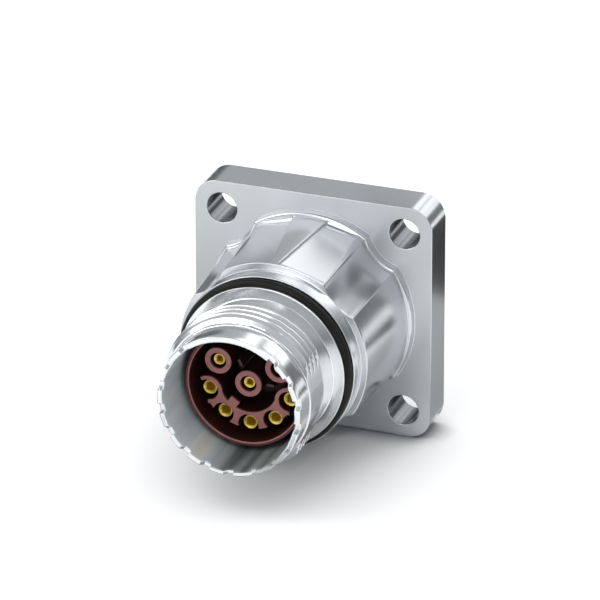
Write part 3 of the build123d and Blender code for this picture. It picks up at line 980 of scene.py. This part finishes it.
def gold_plate():
    """Gold plate over turned brass, with faint tool rings."""
    material, n = new_material("gold_plate")
    place = n.place()
    _, along, _ = n.around_axis(place)
    rings = n.noise(n.combine(0.0, along, 0.0), scale=7000.0)
    cloud = n.noise(place, scale=900.0)
    colour = n.tones(cloud, GOLD_TONES)
    rough = n.between(cloud, GOLD_ROUGHNESS)
    relief = n.bump(rings, strength=0.05, distance=0.006)
    n.surface(Base_Color=colour, Metallic=GOLD_METALLIC, Roughness=rough, Normal=relief)
    return material


def paint(piece, material):
    piece.data.materials.clear()
    piece.data.materials.append(material)


# Camera at the photograph's angle, with a lens so long that the view is nearly parallel. The
# aim is how far the point at the middle station lies from the frame's centre, in pixels.
CAMERA_AZIMUTH = 19.81
CAMERA_ELEVATION = 24.5
CAMERA_LENS = 400.0
CAMERA_SENSOR = 36.0
CAMERA_DISTANCE = 683.36
FRAME_PIXELS = 600.0
AIM_RIGHT = -22.14
AIM_DOWN = 49.45
MIDDLE_STATION = 15.0
CLIP_METRES = (0.01, 20.0)


def make_camera():
    azimuth, elevation = math.radians(CAMERA_AZIMUTH), math.radians(CAMERA_ELEVATION)
    level = math.cos(elevation)
    back = Vector((math.sin(azimuth) * level, -math.cos(azimuth) * level, math.sin(elevation)))
    right = Vector((math.cos(azimuth), math.sin(azimuth), 0))
    up = back.cross(right)
    data = bpy.data.cameras.new("camera")
    data.lens = CAMERA_LENS
    data.sensor_width = CAMERA_SENSOR
    data.clip_start, data.clip_end = CLIP_METRES
    camera = bpy.data.objects.new("camera", data)
    bpy.context.scene.collection.objects.link(camera)
    pixel = CAMERA_SENSOR / FRAME_PIXELS / CAMERA_LENS * CAMERA_DISTANCE * MM
    target = Vector((0, -MIDDLE_STATION * MM, 0)) - right * AIM_RIGHT * pixel + up * AIM_DOWN * pixel
    camera.location = target + back * CAMERA_DISTANCE * MM
    camera.rotation_mode = "QUATERNION"
    camera.rotation_quaternion = back.to_track_quat("Z", "Y")
    bpy.context.scene.camera = camera


def stage_mesh(name, verts, faces, material):
    """A piece of the studio, which isn't part of the object."""
    mesh = bpy.data.meshes.new(name)
    mesh.from_pydata(verts, [], faces)
    piece = bpy.data.objects.new(name, mesh)
    bpy.context.scene.collection.objects.link(piece)
    paint(piece, material)
    return piece


def make_world():
    """Plain white surroundings, which the camera sees beyond the floor."""
    world = bpy.data.worlds.new("studio")
    bpy.context.scene.world = world
    world.use_nodes = True
    n = Nodes(world.node_tree)
    white = n.add("ShaderNodeBackground")
    white.inputs["Color"].default_value = (1, 1, 1, 1)
    white.inputs["Strength"].default_value = 1.0
    n.output(white, "ShaderNodeOutputWorld")


# Light tent round the object: its brightness in front and behind, the share of it that is left at
# its foot, and where along Y and up Z, in a direction of length 1, these pass into each other
TENT_RADIUS = 320.0
TENT_FRONT = 0.56
TENT_BACK = 0.50
TENT_FOOT = 0.45
FRONT_TO_BACK = (-0.6, 0.8)
FOOT_TO_FULL = (0.0, 0.3)
TENT_TINT = (0.985, 1.0, 1.015)
TENT_AROUND = 64
TENT_UP = 24
TENT_SINK = 0.5

# Soft panels in the tent: a direction from the object, the angles from it where the panel is full
# and where it ends, and a brightness. Dark panels give the metal its dark reflections.
TENT_PANELS = [
    ((-0.10, 0.00, 0.99), 12.0, 28.0, 0.32),
    ((-0.74, -0.35, 0.57), 14.0, 22.0, 2.80),
    ((0.50, 0.40, 0.77), 14.0, 26.0, 2.00),
    ((-0.31, -0.42, 0.86), 10.0, 20.0, 0.20),
    ((-0.03, 0.70, 0.71), 2.0, 14.0, 1.55),
    ((0.25, 0.85, 0.46), 5.0, 9.0, 1.60),
    ((0.43, 0.83, 0.35), 4.0, 8.0, 1.50),
    ((0.60, 0.79, 0.12), 7.0, 15.0, 0.20),
    ((-0.12, -0.985, 0.12), 8.0, 14.0, 3.20),
    ((-0.47, 0.86, 0.20), 6.0, 12.0, 0.12),
    ((-0.02, 0.86, 0.51), 5.0, 9.0, 1.50),
]


def panel_share(n, direction, panel, inner, outer):
    """1 inside a soft panel and 0 outside it."""
    dot = n.add("ShaderNodeVectorMath", operation="DOT_PRODUCT")
    n.link(direction, dot.inputs[0])
    dot.inputs[1].default_value = Vector(panel).normalized()
    low, high = math.cos(math.radians(outer)), math.cos(math.radians(inner))
    return n.remap(dot.outputs["Value"], low, high, smooth=True)


def tent_material():
    """Cloth that glows by direction from the object: a soft gradient with the panels in it."""
    material, n = new_material("tent_cloth")
    normalize = n.add("ShaderNodeVectorMath", operation="NORMALIZE")
    n.link(n.place(), normalize.inputs[0])
    direction = normalize.outputs[0]
    _, y, z = n.split(direction)
    level = n.remap(y, *FRONT_TO_BACK, TENT_FRONT, TENT_BACK, smooth=True)
    level = n.math("MULTIPLY", level, n.remap(z, *FOOT_TO_FULL, TENT_FOOT, 1.0, smooth=True))
    for panel, inner, outer, brightness in TENT_PANELS:
        share = panel_share(n, direction, panel, inner, outer)
        outside = n.math("MULTIPLY", level, n.math("SUBTRACT", 1.0, share))
        level = n.math("ADD", outside, n.math("MULTIPLY", share, brightness))
    glow = n.add("ShaderNodeEmission")
    n.link(n.combine(*(n.math("MULTIPLY", level, tint) for tint in TENT_TINT)), glow.inputs["Color"])
    n.output(glow)
    material.cycles.emission_sampling = "NONE"
    return material


def make_tent():
    """Dome of the light tent; the camera looks in through it."""
    radius = TENT_RADIUS * MM
    base = math.asin(-(flange_half + TENT_SINK) / TENT_RADIUS)
    verts = []
    for i in range(TENT_UP):
        lift = base + (math.pi / 2 - base) * i / TENT_UP
        reach = radius * math.cos(lift)
        for j in range(TENT_AROUND):
            turn = 2 * math.pi * j / TENT_AROUND
            verts.append((reach * math.cos(turn), reach * math.sin(turn), radius * math.sin(lift)))
    top = len(verts)
    verts.append((0, 0, radius))
    faces = grid_faces(TENT_UP, TENT_AROUND)
    last = top - TENT_AROUND
    faces += [(last + j, last + (j + 1) % TENT_AROUND, top) for j in range(TENT_AROUND)]
    tent = stage_mesh("light_tent", verts, faces, tent_material())
    tent.visible_camera = False


# Floor: half its side in metres, its tones, its painted contact shadow, and its glow where the
# surroundings are open, which keeps it white away from the shadow and, being left out near the
# object, deepens that shadow as painted shade. A distance in mm says how near a surface counts,
# and a pair how open the floor is where the painted contact shadow or the glow starts and where
# it is full.
FLOOR_HALF = 0.6
FLOOR_TONES = ((0.91, 0.91, 0.91, 1), (0.93, 0.93, 0.93, 1))
# tone of the painted contact shadow
FLOOR_CONTACT_SHADOW = (0.35, 0.35, 0.36, 1)
CONTACT_DISTANCE = 3.0
CONTACT_OPENNESS = (0.95, 0.5)
GLOW_DISTANCE = 16.0
GLOW_OPENNESS = (0.32, 0.80)
GLOW_MOST = 0.38


def floor_material():
    """Pale paint with a painted contact shadow where a surface is very near, which glows where the floor
    lies open.
    """
    material, n = new_material("pale_floor")
    contact = n.remap(n.occlusion(CONTACT_DISTANCE), *CONTACT_OPENNESS)
    pale = n.mix(n.noise(n.place(), scale=12.0), *FLOOR_TONES)
    shader = n.add("ShaderNodeBsdfDiffuse")
    # painted contact shadow darkens the floor's colour beside the object
    n.link(n.mix(contact, pale, FLOOR_CONTACT_SHADOW), shader.inputs["Color"])
    rays = n.add("ShaderNodeLightPath").outputs
    mirrored = n.math("MAXIMUM", rays["Is Glossy Ray"], rays["Is Transmission Ray"])
    seen = n.math("MAXIMUM", rays["Is Camera Ray"], mirrored)
    fill = n.remap(n.occlusion(GLOW_DISTANCE), *GLOW_OPENNESS, 0.0, GLOW_MOST)
    glow = n.add("ShaderNodeEmission")
    n.link(n.math("MULTIPLY", seen, fill), glow.inputs["Strength"])
    both = n.add("ShaderNodeAddShader")
    n.link(shader.outputs[0], both.inputs[0])
    n.link(glow.outputs[0], both.inputs[1])
    n.output(both)
    return material


def make_floor():
    """Wide pale floor that the flange's lower edge stands on."""
    size = FLOOR_HALF
    height = -flange_half * MM
    corners = [(x, y, height) for x, y in ((-size, -size), (size, -size), (size, size), (-size, size))]
    stage_mesh("floor", corners, [(0, 1, 2, 3)], floor_material())


# Cards that show only as reflections in the metal: low corner, high corner and shade. The grey
# cards on the floor beside and in front of the object are painted shade for the floor's shadow.
CARDS = {
    "dark_floor_card": ((-8, 30, -12.8), (60, 78, -12.8), 0.05),
    "dark_near_card": ((-14, 1, -12.8), (13, 14, -12.8), 0.05),
    # painted shade: stands in for the floor's shadow beside the flange
    "grey_right_card": ((13.5, -14, -12.8), (31, 30, -12.8), 0.5),
    # painted shade: stands in for the floor's shadow in front of the object
    "grey_front_card": ((-45, -36, -12.8), (9, -4, -12.8), 0.4),
    "grey_left_card": ((-45, -50, -12.8), (-14, -36, -12.8), 0.5),
    "grey_ring_card": ((-1.5, -52, -12.8), (6, -36, -12.8), 0.5),
    "grey_back_card": ((0.5, 10, 20.5), (6.5, 10, 26), 0.3),
    "dark_left_card": ((-230, 150, -12.8), (-50, 150, 14), 0.05),
}
CARD_LIGHTER = 1.3


def card_material(name, shade):
    """Matt card with faint clouds in its shade."""
    material, n = new_material(name)
    light = shade * CARD_LIGHTER
    shader = n.add("ShaderNodeBsdfDiffuse")
    cloud = n.noise(n.place(), scale=30.0)
    n.link(n.mix(cloud, (shade, shade, shade, 1), (light, light, light, 1)), shader.inputs["Color"])
    n.output(shader)
    return material


def make_card(name, low, high, shade):
    """Flat card, level or upright, between its low and its high corner."""
    corners = [low, (high[0], low[1], low[2]), high, (low[0], high[1], high[2])]
    verts = [(x * MM, y * MM, z * MM) for x, y, z in corners]
    card = stage_mesh(name, verts, [(0, 1, 2, 3)], card_material(name, shade))
    card.visible_camera = False
    card.visible_diffuse = False
    card.visible_shadow = False


# Small soft lamp in front of the object; its size is in mm and its power in watts
LAMP_PLACE = Vector((-34, -85, 100))
LAMP_TARGET = Vector((0, -27, 8))
LAMP_SIZE = (110, 36)
LAMP_WATTS = 0.030


def make_lamp():
    data = bpy.data.lights.new("key_softbox", "AREA")
    data.shape = "RECTANGLE"
    data.size = LAMP_SIZE[0] * MM
    data.size_y = LAMP_SIZE[1] * MM
    data.energy = LAMP_WATTS
    lamp = bpy.data.objects.new("key_softbox", data)
    lamp.location = LAMP_PLACE * MM
    lamp.rotation_mode = "QUATERNION"
    lamp.rotation_quaternion = (LAMP_PLACE - LAMP_TARGET).to_track_quat("Z", "Y")
    bpy.context.scene.collection.objects.link(lamp)


# Every CAD node gets its finish, and four of them are replaced by finer pieces
finishes = (cast_nickel, turned_nickel, seal_rubber, insulator, gold_plate)
materials = {finish.__name__: finish() for finish in finishes}
slots = {row["node"]: row["material_slot"] for row in frame["record"]["subparts"]}
for node_name, node in frame["nodes"].items():
    paint(node, materials[slots[node_name]])

replacements = [
    (make_housing(), "flange_housing"),
    (make_sleeve(), "threaded_sleeve"),
    (make_seal("coupling_seal_ring", "coupling_seal"), "coupling_seal"),
    (make_seal("flange_seal_ring", "flange_seal"), "flange_seal"),
]
for piece, node_name in replacements:
    paint(piece, materials[slots[node_name]])
    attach(piece, "root")
    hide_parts(node_name)

for node_name, width in EDGE_WIDTHS.items():
    soften_edges(frame["nodes"][node_name], width)

make_camera()
make_world()
make_tent()
make_floor()
for card_name, (card_low, card_high, card_shade) in CARDS.items():
    make_card(card_name, card_low, card_high, card_shade)
make_lamp()
bpy.context.scene.view_settings.view_transform = "Standard"
